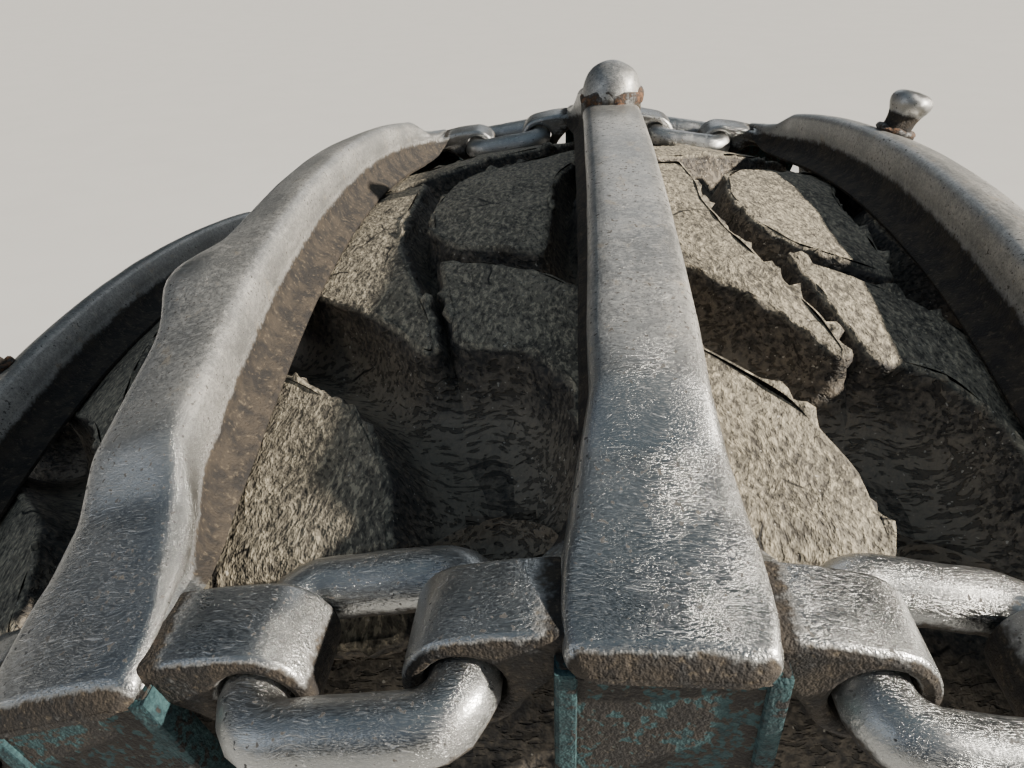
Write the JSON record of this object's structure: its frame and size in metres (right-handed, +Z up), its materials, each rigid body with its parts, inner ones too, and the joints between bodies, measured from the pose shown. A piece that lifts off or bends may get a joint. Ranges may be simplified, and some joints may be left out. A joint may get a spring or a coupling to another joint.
{
  "type": "forestry machine wheel with steel track",
  "caption": "Lugged forestry tyre on its rim, planetary hub and axle end, with a steel crossbar track held by ring links wrapped round it.",
  "frame": {"origin": "centre of the mounting flange's outer face at the machine's side", "axes": "+Y along the axle towards the machine, +X along the travel, +Z up"},
  "size_m": [1.4669, 0.8345, 1.4895],
  "materials": {
    "worn_steel": "worn bright by the ground, rust in the recesses",
    "tyre_rubber": "dusty, cracked and torn",
    "rim_paint": "dusty semi-gloss paint",
    "carrier_paint": "dusty black paint",
    "zinc_steel": "dull plated"
  },
  "bodies": {
    "axle_end": {"mount_flange": "carrier_paint", "hub_carrier": "carrier_paint"},
    "wheel": {"planet_drum": "carrier_paint", "drum_cover": "carrier_paint", "rim_barrel": "rim_paint", "rim_disc": "rim_paint", "wheel_nuts": "zinc_steel", "valve": "zinc_steel", "tyre": "tyre_rubber", "rings_outboard": "worn_steel", "rings_inboard": "worn_steel", "shoe_01": "worn_steel", "shoe_02": "worn_steel", "shoe_03": "worn_steel", "shoe_04": "worn_steel", "shoe_05": "worn_steel", "shoe_06": "worn_steel", "shoe_07": "worn_steel", "shoe_08": "worn_steel", "shoe_09": "worn_steel", "shoe_10": "worn_steel", "shoe_11": "worn_steel", "shoe_12": "worn_steel", "shoe_13": "worn_steel", "shoe_14": "worn_steel", "shoe_15": "worn_steel", "shoe_16": "worn_steel", "shoe_17": "worn_steel", "shoe_18": "worn_steel", "shoe_19": "worn_steel", "shoe_20": "worn_steel"}
  },
  "joints": [
    {"name": "wheel_spin", "type": "hinge", "parent": "axle_end", "child": "wheel", "pos_m": [0, -0.44, 0], "axis": [0, 1, 0], "continuous": true}
  ]
}
